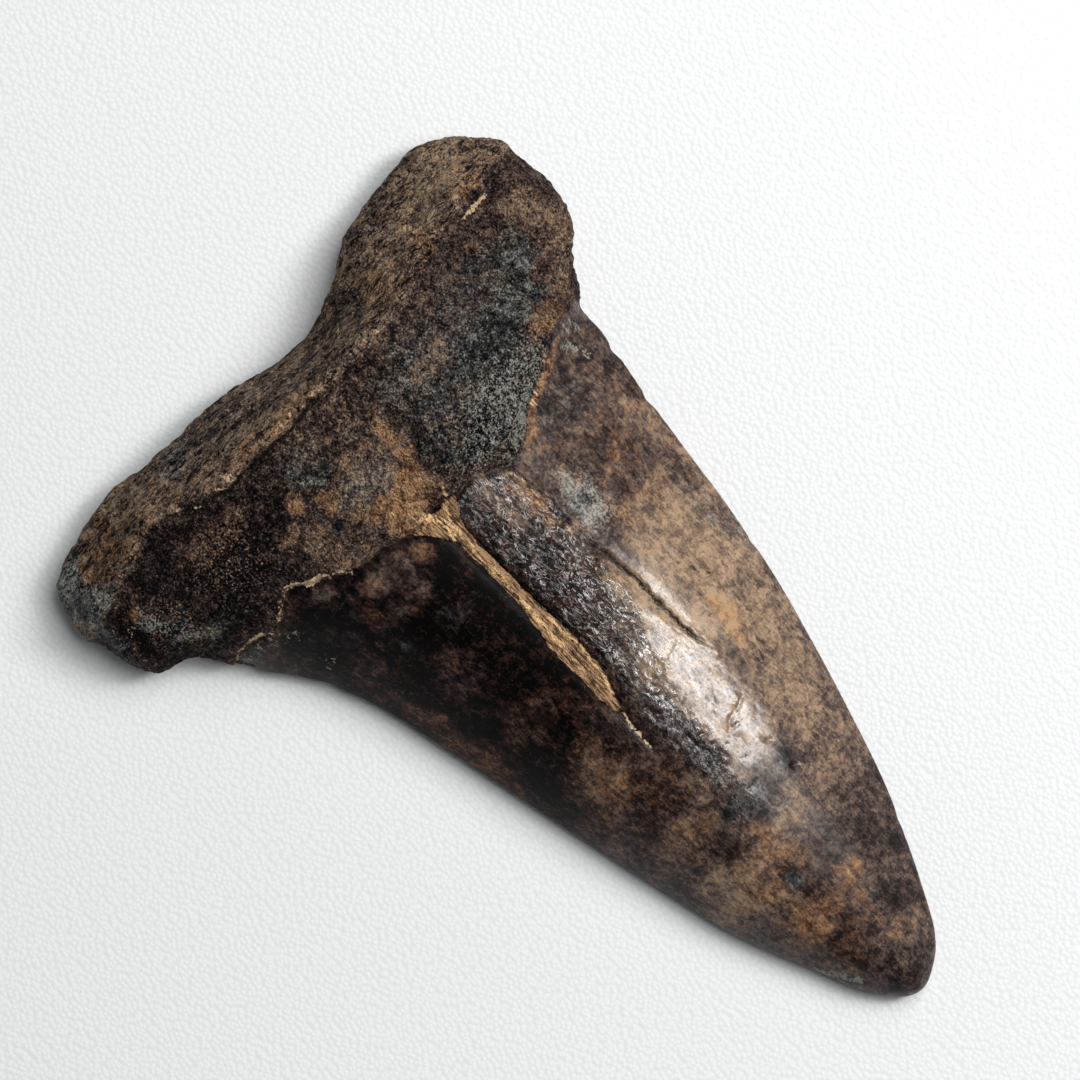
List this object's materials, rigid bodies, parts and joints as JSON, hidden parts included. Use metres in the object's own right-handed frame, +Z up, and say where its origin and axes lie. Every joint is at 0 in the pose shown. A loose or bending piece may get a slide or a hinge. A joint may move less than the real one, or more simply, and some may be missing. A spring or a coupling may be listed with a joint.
{
  "type": "fossil shark tooth",
  "caption": "Fossil shark tooth lying on its flat outer face: a smooth curved triangular crown with long cracks, a ledge at the neck and a rough, broad, notched root.",
  "frame": {"origin": "centre of the bounding box in X and Y, at the height of the flat outer face that the tooth lies on", "axes": "+Y from the crown's tip to the root, +X across the tooth towards the root's larger lobe, +Z up through the curved inner face"},
  "size_m": [0.0442, 0.065, 0.0107],
  "materials": {
    "fossil_tooth": "mineral-stained dark brown, polished on the crown and rough and grainy on the root"
  },
  "bodies": {
    "root": {"shark_tooth": "fossil_tooth"}
  },
  "joints": []
}
